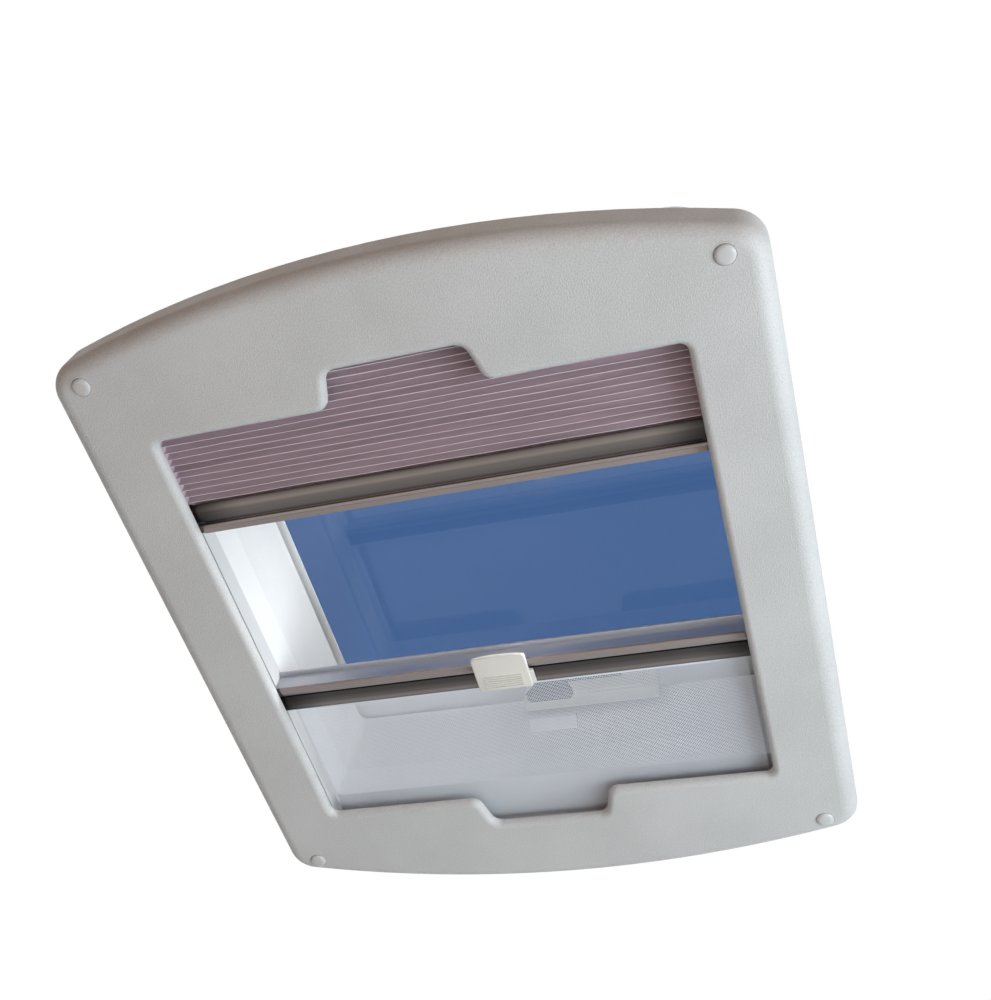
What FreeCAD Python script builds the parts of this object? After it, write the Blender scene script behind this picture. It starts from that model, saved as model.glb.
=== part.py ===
import FreeCAD, Part
import os
from FreeCAD import Vector

# Camper roof hatch, millimetres. X is across, Y runs from the blackout end to the flyscreen end,
# Z is up. The origin is the centre of the roof cut-out on the roof's outer skin.

# Roof
CUTOUT = 400.0
ROOF = 34.0

# Inner trim frame
TRIM_WIDTH = 460.0
TRIM_LENGTH = 532.0
TRIM_DEPTH = 30.0
TRIM_WALL = 3.0
END_RISE = 32.0
TRIM_CORNER_R = 22.0
TRIM_EDGE_R = 12.0
OPENING = 350.0
OPENING_R = 6.0
LIP_HEIGHT = 6.0
LIP_R = 5.0
NOTCH_WIDTH = 90.0
NOTCH_MOUTH = 104.0
NOTCH_DEPTH = 26.0
NOTCH_R = 9.0
SCREW_INSET_X = 25.0
SCREW_INSET_Y = 42.0
BOSS_R = 7.5
SCREW_HOLE_R = 2.25
CAP_R = 6.3
CAP_RECESS = 1.2
CAP_HEIGHT = 2.0

# Liner that lines the roof's edge
LINER_WALL = 2.5
LINER_HEIGHT = 25.0
LINER_PLATE = 2.5
LINER_R = 6.0

# Outer frame on the roof
THROAT = 364.0
THROAT_R = 8.0
THROAT_DROP = 28.0
FRAME_WALL = 3.0
COLLAR_DROP = 20.0
COLLAR_R = 14.0
RIM_HEIGHT = 57.0
UPSTAND_FOOT = 424.0
UPSTAND_TOP = 404.0
UPSTAND_R = 30.0
FLANGE = 460.0
FLANGE_T = 4.0
FLANGE_R = 45.0
SEAL_WIDTH = 9.0
SEAL_HEIGHT = 4.7

# Lid
DOME = 430.0
DOME_R = 50.0
DOME_WALL = 3.0
DOME_SKIRT_DROP = 11.0
DOME_HEIGHT = 62.0
DOME_CROWN = 14.0
DOME_SHOULDER_R = 24.0
PANE_T = 3.0
EDGE_LEG = 3.0
EDGE_LEG_HEIGHT = 10.0
EDGE_LEDGE = 12.0

# Lid hinges
HINGE_X = 85.0
HINGE_OUT = 8.0
HINGE_PIN_R = 2.5
KNUCKLE_R = 6.0
KNUCKLE_WIDTH = 18.0
CHEEK = 5.0
FOOT_T = 3.0
FOOT_WIDTH = 44.0
ARM_PLATE_T = 3.0
ARM_PLATE_HEIGHT = 24.0
ARM_PLATE_WIDTH = 30.0

# Lid latch
LATCH_WIDTH = 64.0
LATCH_DEPTH = 24.0
LATCH_HEIGHT = 11.0
GRIP_WIDTH = 44.0
GRIP_DEPTH = 11.0
GRIP_HEIGHT = 18.0
LATCH_WALL_GAP = 8.0
KEEPER_WIDTH = 40.0
KEEPER_DEPTH = 8.0
KEEPER_HEIGHT = 10.0
KEEPER_DROP = 6.0

# Blind rails and their tracks
RAIL_WIDTH = 22.5
RAIL_HEIGHT = 17.5
RAIL_WALL = 1.8
RAIL_TOP_LIP = 3.5
RAIL_TOP_REACH = 17.0
RAIL_FLOOR = 2.4
RAIL_BEAD_R = 1.1
GROOVE_WIDTH = 3.5
GROOVE_DEPTH = 3.5
STRIP_WIDTH = 4.5
STRIP_T = 2.0
STRIP_R = 0.6
RAIL_LIFT = 2.5
BLACKOUT_WEB_Y = -97.5
FLYSCREEN_WEB_Y = 47.0
CAP_PLATE = 2.5
CAP_CLEAR = 2.0
BAND_RISE = 2.0
BAND_STEPS = 6
TONGUE_LENGTH = 17.0
TONGUE_T = 4.0
TONGUE_WIDTH = 18.0
TRACK_SETBACK = 3.5
TRACK_WIDTH = 21.5
TRACK_WEB = 4.0
TRACK_SHELF = 2.0
TRACK_END_INSET = 60.0
GROOVE_CLEAR = 0.5

# Pull handle on the flyscreen rail
HANDLE_WIDTH = 40.0
HANDLE_T = 4.5
HANDLE_NOSE = 9.5
HANDLE_NOSE_HEIGHT = 10.0
HANDLE_BULGE = 3.0
HANDLE_CORNER_R = 3.0
HANDLE_EDGE_R = 1.2
HANDLE_TAB = 3.0
HANDLE_TAB_LENGTH = 13.0
HANDLE_SETBACK = 1.0

# Cloths
PLEATS = 24
PLEAT_DEPTH = 5.6
PLEAT_T = 0.8
PLEAT_LIFT = 0.6
CLOTH_TUCK = 11.5
ANCHOR_INSET = 36.0
ANCHOR_T = 3.0
ANCHOR_END_INSET = 4.0
ANCHOR_HEIGHT = 20.0
ANCHOR_FOOT = 5.0
MESH_T = 0.5
MESH_LIFT = 4.1
ROLLER_R = 6.5
ROLLER_INSET = 44.0
ROLLER_OVERHANG = 3.3
ROLLER_PIN_R = 3.0
ROLLER_PIN = 5.0
BRACKET_T = 5.0
BRACKET_WIDTH = 17.0
BRACKET_HEIGHT = 23.0

# Clearances
CUTOUT_CLEAR = 1.0
FIT = 0.3
PIN_CLEAR = 0.2

# Levels and places that follow from the sizes above
CEILING_Z = -ROOF
FACE_Z = CEILING_Z - TRIM_DEPTH
PLATE_Z = FACE_Z + TRIM_WALL
LIP_Z = FACE_Z + LIP_HEIGHT
RAIL_Z = LIP_Z + RAIL_LIFT
LINER_Z = CEILING_Z - LINER_PLATE
SEAL_Z = RIM_HEIGHT + SEAL_HEIGHT
PANE_Z = SEAL_Z + FIT
SKIRT_Z = RIM_HEIGHT - DOME_SKIRT_DROP
HINGE_Y = -(DOME / 2 + HINGE_OUT)
HINGE_Z = SKIRT_Z
SCREW_X = TRIM_WIDTH / 2 - SCREW_INSET_X
SCREW_Y = TRIM_LENGTH / 2 - SCREW_INSET_Y
TRACK_FACE = OPENING / 2 + TRACK_SETBACK
TRACK_LENGTH = TRIM_LENGTH - 2 * TRACK_END_INSET
RAIL_LENGTH = 2 * (TRACK_FACE - CAP_CLEAR - CAP_PLATE)
CLOTH_WIDTH = RAIL_LENGTH - 2 * FIT
ANCHOR_Y = ANCHOR_INSET - TRIM_LENGTH / 2
ANCHOR_LENGTH = CLOTH_WIDTH - 2 * ANCHOR_END_INSET
ROLLER_Y = TRIM_LENGTH / 2 - ROLLER_INSET
ROLLER_LENGTH = CLOTH_WIDTH + 2 * ROLLER_OVERHANG

parts = {}


def rounded_wire(width, length, radius, z):
    """A rectangle with round corners, centred on the Z axis, at height z."""
    x, y, r = width / 2, length / 2, radius
    k = r * (1 - 0.5 ** 0.5)
    edges = [
        Part.LineSegment(Vector(-x + r, -y, z), Vector(x - r, -y, z)),
        Part.Arc(Vector(x - r, -y, z), Vector(x - k, -y + k, z), Vector(x, -y + r, z)),
        Part.LineSegment(Vector(x, -y + r, z), Vector(x, y - r, z)),
        Part.Arc(Vector(x, y - r, z), Vector(x - k, y - k, z), Vector(x - r, y, z)),
        Part.LineSegment(Vector(x - r, y, z), Vector(-x + r, y, z)),
        Part.Arc(Vector(-x + r, y, z), Vector(-x + k, y - k, z), Vector(-x, y - r, z)),
        Part.LineSegment(Vector(-x, y - r, z), Vector(-x, -y + r, z)),
        Part.Arc(Vector(-x, -y + r, z), Vector(-x + k, -y + k, z), Vector(-x + r, -y, z)),
    ]
    return Part.Wire([e.toShape() for e in edges])


def rounded_prism(width, length, radius, z0, z1):
    wire = rounded_wire(width, length, radius, z0)
    return Part.Face(wire).extrude(Vector(0, 0, z1 - z0))


def square_ring(outer, inner, outer_r, inner_r, z0, z1):
    hole = rounded_prism(inner, inner, inner_r, z0, z1)
    return rounded_prism(outer, outer, outer_r, z0, z1).cut(hole)


def square_loft(low, high, low_r, high_r, z0, z1):
    wires = [rounded_wire(low, low, low_r, z0), rounded_wire(high, high, high_r, z1)]
    return Part.makeLoft(wires, True, True)


def box(x0, x1, y0, y1, z0, z1):
    return Part.makeBox(x1 - x0, y1 - y0, z1 - z0, Vector(x0, y0, z0))


def prism_x(points, x0, x1):
    """A closed outline of (y, z) points, extruded along X."""
    corners = [Vector(x0, y, z) for y, z in points]
    return Part.Face(Part.makePolygon(corners + corners[:1])).extrude(Vector(x1 - x0, 0, 0))


def prism_y(points, y0, y1):
    """A closed outline of (x, z) points, extruded along Y."""
    corners = [Vector(x, y0, z) for x, z in points]
    return Part.Face(Part.makePolygon(corners + corners[:1])).extrude(Vector(0, y1 - y0, 0))


def rod_x(radius, x0, x1, y, z):
    return Part.makeCylinder(radius, x1 - x0, Vector(x0, y, z), Vector(1, 0, 0))


def upright_edges(shape):
    return [e for e in shape.Edges if e.BoundBox.XLength + e.BoundBox.YLength < 1e-6]


def level_edges(shape, z):
    return [e for e in shape.Edges if e.BoundBox.ZLength < 1e-6 and abs(e.BoundBox.ZMin - z) < 1e-6]


def mirror_x(shape):
    return shape.mirror(Vector(0, 0, 0), Vector(1, 0, 0))


def sides(name, shape):
    """A piece on the right and its mirror image on the left."""
    parts[name + "_right"] = shape
    parts[name + "_left"] = mirror_x(shape)


def trim_block(inset, z0, z1, edge_r):
    """The trim's outer form, drawn in by inset: straight sides, bulged ends, round corners."""
    x = TRIM_WIDTH / 2 - inset
    y = TRIM_LENGTH / 2 - inset
    y_side = y - END_RISE
    edges = [
        Part.LineSegment(Vector(x, -y_side, z0), Vector(x, y_side, z0)),
        Part.Arc(Vector(x, y_side, z0), Vector(0, y, z0), Vector(-x, y_side, z0)),
        Part.LineSegment(Vector(-x, y_side, z0), Vector(-x, -y_side, z0)),
        Part.Arc(Vector(-x, -y_side, z0), Vector(0, -y, z0), Vector(x, -y_side, z0)),
    ]
    wire = Part.Wire([e.toShape() for e in edges])
    block = Part.Face(wire).extrude(Vector(0, 0, z1 - z0))
    block = block.makeFillet(TRIM_CORNER_R - inset, upright_edges(block))
    if edge_r > 0:
        block = block.makeFillet(edge_r, level_edges(block, z0))
    return block


def opening_prism(grow, z0, z1):
    """The view opening with a finger notch in its near and far edges, all corners round."""
    half = OPENING / 2 + grow
    mouth = NOTCH_MOUTH / 2 + grow
    deep = NOTCH_WIDTH / 2 + grow
    end = half + NOTCH_DEPTH
    shape = box(-half, half, -half, half, z0, z1)
    for side in (-1, 1):
        corners = [(-mouth, side * half), (mouth, side * half), (deep, side * end), (-deep, side * end)]
        points = [Vector(x, y, z0) for x, y in corners]
        notch = Part.Face(Part.makePolygon(points + points[:1])).extrude(Vector(0, 0, z1 - z0))
        shape = shape.fuse(notch)
    shape = shape.removeSplitter()
    upright = upright_edges(shape)
    outer = [e for e in upright if abs(e.BoundBox.XMin) > mouth + 1]
    ends = [e for e in upright if abs(e.BoundBox.YMin) > half + 1]
    mouths = [e for e in upright if e not in outer and e not in ends]
    shape = shape.makeFillet(OPENING_R + grow, outer)
    places = [(e.BoundBox.XMin, e.BoundBox.YMin) for e in ends]
    shape = shape.makeFillet(NOTCH_R + grow, edges_at(shape, places))
    places = [(e.BoundBox.XMin, e.BoundBox.YMin) for e in mouths]
    return shape.makeFillet(NOTCH_R - grow, edges_at(shape, places))


def edges_at(shape, places):
    """The upright edges of a shape that stand at the given (x, y) places."""
    found = []
    for e in upright_edges(shape):
        at = (e.BoundBox.XMin, e.BoundBox.YMin)
        if any(abs(at[0] - x) + abs(at[1] - y) < 0.01 for x, y in places):
            found.append(e)
    return found


def screw_places():
    return [(x, y) for y in (-SCREW_Y, SCREW_Y) for x in (-SCREW_X, SCREW_X)]


def make_trim():
    trim = trim_block(0, FACE_Z, CEILING_Z, TRIM_EDGE_R)
    trim = trim.cut(trim_block(TRIM_WALL, PLATE_Z, CEILING_Z, TRIM_EDGE_R - TRIM_WALL))
    trim = trim.fuse(opening_prism(TRIM_WALL, FACE_Z, LIP_Z))
    for x, y in screw_places():
        trim = trim.fuse(Part.makeCylinder(BOSS_R, LINER_Z - FACE_Z, Vector(x, y, FACE_Z)))
    trim = trim.cut(opening_prism(0, FACE_Z, LIP_Z))
    reach = OPENING / 2 + NOTCH_DEPTH + 1
    rim = [
        e for e in level_edges(trim, FACE_Z)
        if abs(e.CenterOfMass.x) < OPENING / 2 + 1 and abs(e.CenterOfMass.y) < reach
    ]
    trim = trim.makeFillet(LIP_R, rim)
    for x, y in screw_places():
        trim = trim.cut(Part.makeCylinder(SCREW_HOLE_R, TRIM_DEPTH, Vector(x, y, FACE_Z)))
        trim = trim.cut(Part.makeCylinder(CAP_R + FIT, CAP_RECESS, Vector(x, y, FACE_Z)))
    parts["trim_frame"] = trim.removeSplitter()


def make_screw_caps():
    names = ["near_left", "near_right", "far_left", "far_right"]
    top = FACE_Z + CAP_RECESS
    dome_r = (CAP_R ** 2 + CAP_HEIGHT ** 2) / (2 * CAP_HEIGHT)
    for name, (x, y) in zip(names, screw_places()):
        disc = Part.makeCylinder(CAP_R, CAP_RECESS + CAP_HEIGHT, Vector(x, y, FACE_Z - CAP_HEIGHT))
        ball = Part.makeSphere(dome_r, Vector(x, y, FACE_Z - CAP_HEIGHT + dome_r))
        stud = Part.makeCylinder(CAP_R, CAP_RECESS, Vector(x, y, FACE_Z))
        parts["screw_cap_" + name] = disc.common(ball).fuse(stud).removeSplitter()


def make_liner():
    inner = THROAT - 2 * (FIT + LINER_WALL)
    plate = trim_block(TRIM_WALL + FIT, LINER_Z, CEILING_Z, 0)
    collar = rounded_prism(THROAT - 2 * FIT, THROAT - 2 * FIT, THROAT_R - FIT, LINER_Z, CEILING_Z + LINER_HEIGHT)
    liner = plate.fuse(collar)
    liner = liner.cut(rounded_prism(inner, inner, LINER_R, LINER_Z, CEILING_Z + LINER_HEIGHT))
    for x, y in screw_places():
        liner = liner.cut(Part.makeCylinder(SCREW_HOLE_R + FIT, LINER_PLATE, Vector(x, y, LINER_Z)))
    parts["well_liner"] = liner.removeSplitter()


def make_outer_frame():
    wall = FRAME_WALL
    hollow_z = RIM_HEIGHT - wall
    frame = square_loft(UPSTAND_FOOT, UPSTAND_TOP, UPSTAND_R + wall, UPSTAND_R, 0, RIM_HEIGHT)
    hollow = square_loft(UPSTAND_FOOT - 2 * wall, UPSTAND_TOP - 2 * wall, UPSTAND_R, UPSTAND_R - wall, 0, hollow_z)
    frame = frame.cut(hollow)
    collar_outer = CUTOUT - 2 * CUTOUT_CLEAR
    collar_inner = collar_outer - 2 * wall
    frame = frame.fuse(square_ring(FLANGE, collar_inner, FLANGE_R, COLLAR_R - wall, 0, FLANGE_T))
    frame = frame.fuse(square_ring(collar_outer, collar_inner, COLLAR_R, COLLAR_R - wall, -COLLAR_DROP, 0))
    throat_outer = THROAT + 2 * wall
    frame = frame.fuse(rounded_prism(throat_outer, throat_outer, THROAT_R + wall, -THROAT_DROP, RIM_HEIGHT))
    frame = frame.cut(rounded_prism(THROAT, THROAT, THROAT_R, -THROAT_DROP, RIM_HEIGHT))
    parts["outer_frame"] = frame.removeSplitter()
    middle = (UPSTAND_TOP + THROAT) / 2
    outer, inner = middle + SEAL_WIDTH, middle - SEAL_WIDTH
    parts["rim_seal"] = square_ring(outer, inner, UPSTAND_R, THROAT_R, RIM_HEIGHT, SEAL_Z)


def dome_block(inset):
    """The dome's outer form, drawn in by inset: a rounded prism with a crowned top and soft shoulder."""
    size = DOME - 2 * inset
    top = SKIRT_Z + DOME_HEIGHT - inset
    sphere_r = ((DOME / 2) ** 2 + DOME_CROWN ** 2) / (2 * DOME_CROWN)
    block = rounded_prism(size, size, DOME_R - inset, SKIRT_Z, top + 1)
    block = block.common(Part.makeSphere(sphere_r, Vector(0, 0, top - sphere_r)))
    shoulder = [e for e in block.Edges if e.BoundBox.ZMin > SKIRT_Z + 1 and e.BoundBox.ZLength < DOME_CROWN * 2]
    shoulder = [e for e in shoulder if e not in upright_edges(block)]
    return block.makeFillet(DOME_SHOULDER_R - inset, shoulder)


def make_lid():
    parts["lid_dome"] = dome_block(0).cut(dome_block(DOME_WALL))
    leg_outer = DOME - 2 * (DOME_WALL + FIT)
    leg_r = DOME_R - DOME_WALL - FIT
    ledge_z = PANE_Z - EDGE_LEG
    leg = square_ring(
        leg_outer, leg_outer - 2 * EDGE_LEG, leg_r, leg_r - EDGE_LEG, PANE_Z - EDGE_LEG_HEIGHT, PANE_Z)
    ledge = square_ring(
        leg_outer, leg_outer - 2 * EDGE_LEDGE, leg_r, leg_r - EDGE_LEDGE, ledge_z, PANE_Z)
    parts["lid_edge_frame"] = leg.fuse(ledge).removeSplitter()
    pane = leg_outer - 2 * FIT
    parts["lid_pane"] = rounded_prism(pane, pane, leg_r - FIT, PANE_Z, PANE_Z + PANE_T)


def make_hinges():
    half = KNUCKLE_WIDTH / 2
    cheek_in = half + FIT
    cheek_out = cheek_in + CHEEK
    foot_y = HINGE_Y + KNUCKLE_R
    foot = box(-FOOT_WIDTH / 2, FOOT_WIDTH / 2, HINGE_Y - KNUCKLE_R, foot_y, FLANGE_T, FLANGE_T + FOOT_T)
    bracket = foot
    for x0, x1 in ((-cheek_out, -cheek_in), (cheek_in, cheek_out)):
        post = box(x0, x1, HINGE_Y - KNUCKLE_R, foot_y, FLANGE_T, HINGE_Z)
        bracket = bracket.fuse(post).fuse(rod_x(KNUCKLE_R, x0, x1, HINGE_Y, HINGE_Z))
    bracket = bracket.cut(rod_x(HINGE_PIN_R, -cheek_out, cheek_out, HINGE_Y, HINGE_Z)).removeSplitter()
    pin = rod_x(HINGE_PIN_R, -cheek_out, cheek_out, HINGE_Y, HINGE_Z)

    skirt_y = -DOME / 2
    plate_z = HINGE_Z + KNUCKLE_R + ARM_PLATE_T
    arm = box(-ARM_PLATE_WIDTH / 2, ARM_PLATE_WIDTH / 2, skirt_y - ARM_PLATE_T, skirt_y,
              plate_z, plate_z + ARM_PLATE_HEIGHT)
    neck = box(-half, half, skirt_y - ARM_PLATE_T, skirt_y, HINGE_Z, plate_z)
    web = box(-half, half, HINGE_Y, skirt_y, HINGE_Z, HINGE_Z + KNUCKLE_R)
    arm = arm.fuse(neck).fuse(web).fuse(rod_x(KNUCKLE_R, -half, half, HINGE_Y, HINGE_Z))
    arm = arm.cut(rod_x(HINGE_PIN_R + PIN_CLEAR, -half, half, HINGE_Y, HINGE_Z)).removeSplitter()
    for name, shape in (("hinge_bracket", bracket), ("hinge_pin", pin), ("hinge_arm", arm)):
        shape.translate(Vector(HINGE_X, 0, 0))
        sides(name, shape)


def make_latch():
    back = THROAT / 2 - LATCH_WALL_GAP
    top = PANE_Z
    low = top - LATCH_HEIGHT
    body = box(-LATCH_WIDTH / 2, LATCH_WIDTH / 2, back - LATCH_DEPTH, back, low, top)
    body = body.makeFillet(LATCH_DEPTH / 4, upright_edges(body))
    parts["latch_body"] = body.makeFillet(2.0, level_edges(body, low))
    middle = back - LATCH_DEPTH / 2
    wide, slim = GRIP_WIDTH / 2, GRIP_WIDTH / 4
    outline = [(-slim, low), (slim, low), (wide, low - GRIP_HEIGHT), (-wide, low - GRIP_HEIGHT)]
    grip = prism_y(outline, middle - GRIP_DEPTH / 2, middle + GRIP_DEPTH / 2)
    parts["latch_grip"] = grip.makeFillet(3.0, level_edges(grip, low - GRIP_HEIGHT))
    wall = THROAT / 2
    top = low - GRIP_HEIGHT - KEEPER_DROP
    keeper = prism_x(
        [(wall, top - KEEPER_HEIGHT), (wall, top), (wall - KEEPER_DEPTH, top), (wall - KEEPER_DEPTH, top - 4)],
        -KEEPER_WIDTH / 2, KEEPER_WIDTH / 2)
    parts["latch_keeper"] = keeper


def make_tracks():
    """A grooved guide on each side: the rails' tongues run between its foot and its shelf."""
    inner, outer = TRACK_FACE, TRACK_FACE + TRACK_WIDTH
    web = outer - TRACK_WEB
    groove_low = RAIL_Z - GROOVE_CLEAR
    groove_high = RAIL_Z + TONGUE_T + GROOVE_CLEAR
    shelf = groove_high + TRACK_SHELF
    outline = [
        (inner, PLATE_Z), (outer, PLATE_Z), (outer, shelf), (inner + TRACK_SHELF, shelf),
        (inner + TRACK_SHELF, LINER_Z), (inner, LINER_Z), (inner, groove_high),
        (web, groove_high), (web, groove_low), (inner, groove_low),
    ]
    sides("side_track", prism_y(outline, -TRACK_LENGTH / 2, TRACK_LENGTH / 2))


def rail_profile(web_y, way):
    """The rail's section: a web, a roof and a grooved floor that open towards the cloth."""
    w, h, t = RAIL_WIDTH, RAIL_HEIGHT, RAIL_WALL
    groove = STRIP_WIDTH + GROOVE_WIDTH
    over_groove = GROOVE_DEPTH + t
    outline = [(0, STRIP_T), (STRIP_WIDTH, STRIP_T), (STRIP_WIDTH, GROOVE_DEPTH), (groove, GROOVE_DEPTH)]
    for i in range(BAND_STEPS + 1):
        share = i / BAND_STEPS
        outline.append((groove + share * (w - t - groove), BAND_RISE * (1 - share) ** 2))
    outline += [
        (w, 0), (w, RAIL_FLOOR), (groove + t, RAIL_FLOOR), (groove + t, over_groove), (t, over_groove),
        (t, h - t), (RAIL_TOP_REACH, h - t), (RAIL_TOP_REACH, h),
        (-RAIL_TOP_LIP, h), (-RAIL_TOP_LIP, h - t), (0, h - t),
    ]
    return [(web_y + way * u, RAIL_Z + v) for u, v in outline]


def make_rail(name, web_y, way):
    """A rail whose web is at web_y, with its cloth on the side that way points to."""
    half = RAIL_LENGTH / 2
    rail = prism_x(rail_profile(web_y, way), -half, half)
    cloth_edge = web_y + way * RAIL_WIDTH
    bead = [e for e in rail.Edges if abs(e.CenterOfMass.y - cloth_edge) < 0.01 and e.BoundBox.XLength > half]
    parts[name + "_rail"] = rail.makeFillet(RAIL_BEAD_R, bead)
    strip_edges = sorted((web_y, web_y + way * STRIP_WIDTH))
    strip = box(-half, half, strip_edges[0], strip_edges[1], RAIL_Z, RAIL_Z + STRIP_T)
    low = [e for e in level_edges(strip, RAIL_Z) if e.BoundBox.XLength > half]
    parts[name + "_seal_strip"] = strip.makeFillet(STRIP_R, low)
    x0 = RAIL_LENGTH / 2
    x1 = x0 + CAP_PLATE
    ends = sorted((web_y, web_y + way * RAIL_WIDTH))
    middle = web_y + way * RAIL_WIDTH / 2
    cap = box(x0, x1, ends[0], ends[1], RAIL_Z, RAIL_Z + RAIL_HEIGHT)
    tongue = box(x1, x1 + TONGUE_LENGTH, middle - TONGUE_WIDTH / 2, middle + TONGUE_WIDTH / 2,
                 RAIL_Z, RAIL_Z + TONGUE_T)
    sides(name + "_glider", cap.fuse(tongue).removeSplitter())


def make_handle():
    """The pull handle under the flyscreen rail, with a nose in front of the rail's web."""
    x = HANDLE_WIDTH / 2
    near = FLYSCREEN_WEB_Y - HANDLE_NOSE
    shoulder = near + HANDLE_BULGE
    far = FLYSCREEN_WEB_Y + RAIL_WIDTH - HANDLE_SETBACK
    low = RAIL_Z - HANDLE_T
    edges = [
        Part.LineSegment(Vector(x, shoulder, low), Vector(x, far, low)),
        Part.LineSegment(Vector(x, far, low), Vector(-x, far, low)),
        Part.LineSegment(Vector(-x, far, low), Vector(-x, shoulder, low)),
        Part.Arc(Vector(-x, shoulder, low), Vector(0, near, low), Vector(x, shoulder, low)),
    ]
    face = Part.Face(Part.Wire([e.toShape() for e in edges]))
    block = face.extrude(Vector(0, 0, HANDLE_NOSE_HEIGHT))
    block = block.makeFillet(HANDLE_CORNER_R, upright_edges(block))
    handle = block.cut(box(-x, x, FLYSCREEN_WEB_Y, far, RAIL_Z, low + HANDLE_NOSE_HEIGHT))
    handle = handle.makeFillet(HANDLE_EDGE_R, level_edges(handle, low))
    tab_y = far - HANDLE_CORNER_R
    tab = box(x - HANDLE_TAB, x + HANDLE_TAB, tab_y - HANDLE_TAB_LENGTH, tab_y, low + HANDLE_EDGE_R, RAIL_Z)
    parts["rail_handle"] = handle.fuse(tab).removeSplitter()


def make_blackout_cloth():
    """Zigzag pleats from the anchor strip to inside the blackout rail."""
    y0 = ANCHOR_Y + FIT
    y1 = BLACKOUT_WEB_Y - RAIL_WIDTH + CLOTH_TUCK
    low = RAIL_Z + RAIL_FLOOR + PLEAT_LIFT
    pitch = (y1 - y0) / PLEATS
    under = []
    for i in range(2 * PLEATS + 1):
        z = low if i % 2 else low + PLEAT_DEPTH - PLEAT_T
        under.append((y0 + i * pitch / 2, z))
    over = [(y, z + PLEAT_T) for y, z in reversed(under)]
    parts["blackout_cloth"] = prism_x(under + over, -CLOTH_WIDTH / 2, CLOTH_WIDTH / 2)
    back = ANCHOR_Y - ANCHOR_T
    outline = [
        (ANCHOR_Y, PLATE_Z), (ANCHOR_Y, PLATE_Z + ANCHOR_HEIGHT), (back, PLATE_Z + ANCHOR_HEIGHT),
        (back, PLATE_Z + ANCHOR_T), (ANCHOR_Y - ANCHOR_FOOT, PLATE_Z + ANCHOR_T),
        (ANCHOR_Y - ANCHOR_FOOT, PLATE_Z),
    ]
    parts["blackout_anchor"] = prism_x(outline, -ANCHOR_LENGTH / 2, ANCHOR_LENGTH / 2)


def make_flyscreen():
    """The flat mesh, the roller that it winds on and the roller's end brackets."""
    mesh_z = RAIL_Z + MESH_LIFT
    y0 = FLYSCREEN_WEB_Y + RAIL_WIDTH - CLOTH_TUCK
    parts["flyscreen_mesh"] = box(-CLOTH_WIDTH / 2, CLOTH_WIDTH / 2, y0, ROLLER_Y, mesh_z, mesh_z + MESH_T)
    axis_z = mesh_z + MESH_T + FIT + ROLLER_R
    half = ROLLER_LENGTH / 2
    roller = rod_x(ROLLER_R, -half, half, ROLLER_Y, axis_z)
    roller = roller.fuse(rod_x(ROLLER_PIN_R, -half - ROLLER_PIN, half + ROLLER_PIN, ROLLER_Y, axis_z))
    parts["flyscreen_roller"] = roller.removeSplitter()
    x0 = half + FIT
    y = BRACKET_WIDTH / 2
    bracket = box(x0, x0 + BRACKET_T, ROLLER_Y - y, ROLLER_Y + y, PLATE_Z, PLATE_Z + BRACKET_HEIGHT)
    bracket = bracket.cut(rod_x(ROLLER_PIN_R + PIN_CLEAR, x0, x0 + BRACKET_T, ROLLER_Y, axis_z))
    sides("roller_bracket", bracket)


make_trim()
make_screw_caps()
make_liner()
make_outer_frame()
make_lid()
make_hinges()
make_latch()
make_tracks()
make_rail("blackout", BLACKOUT_WEB_Y, -1)
make_rail("flyscreen", FLYSCREEN_WEB_Y, 1)
make_handle()
make_blackout_cloth()
make_flyscreen()

os.makedirs("parts", exist_ok=True)
for name, shape in parts.items():
    if not shape.isValid() or len(shape.Solids) != 1:
        print(name, "has", len(shape.Solids), "solids, valid:", shape.isValid())
    shape.exportStep(os.path.join("parts", name + ".step"))
print(len(parts), "parts")
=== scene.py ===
import math
import random

import bmesh
import bpy
from mathutils import Matrix, Vector


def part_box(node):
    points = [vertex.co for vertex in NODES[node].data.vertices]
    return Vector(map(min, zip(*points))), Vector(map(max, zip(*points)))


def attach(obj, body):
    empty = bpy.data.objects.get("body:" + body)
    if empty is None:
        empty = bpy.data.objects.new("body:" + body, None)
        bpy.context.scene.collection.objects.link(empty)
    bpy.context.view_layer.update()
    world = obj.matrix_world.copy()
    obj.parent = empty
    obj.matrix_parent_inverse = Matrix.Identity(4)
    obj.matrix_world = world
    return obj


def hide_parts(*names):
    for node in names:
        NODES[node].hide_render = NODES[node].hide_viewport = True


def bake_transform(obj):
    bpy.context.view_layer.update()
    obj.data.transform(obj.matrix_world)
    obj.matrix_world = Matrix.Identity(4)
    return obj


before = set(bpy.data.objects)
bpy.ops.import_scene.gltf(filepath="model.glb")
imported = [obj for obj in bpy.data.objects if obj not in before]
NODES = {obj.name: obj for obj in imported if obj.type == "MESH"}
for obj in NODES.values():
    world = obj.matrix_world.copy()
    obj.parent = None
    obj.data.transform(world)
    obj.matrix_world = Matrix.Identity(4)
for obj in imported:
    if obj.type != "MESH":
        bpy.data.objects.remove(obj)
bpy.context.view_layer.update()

MM = 0.001

# X runs along the rails, Y from the hinges to the latch and Z up to the sky.
# Lengths are in mm and angles in degrees, unless a comment says otherwise.

# The photograph's camera, with its place and clip in metres
CAMERA_PLACE = (0.2237, -0.4577, -0.6834)
CAMERA_TURN = (30.53, 14.61, -9.14)
CAMERA_LENS = 41.56
CAMERA_SENSOR = 36.0
CAMERA_CLIP = 0.01

# Where a noise value starts and ends when it is mapped to a tone
NOISE_SPAN = (0.3, 0.7)

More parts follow.
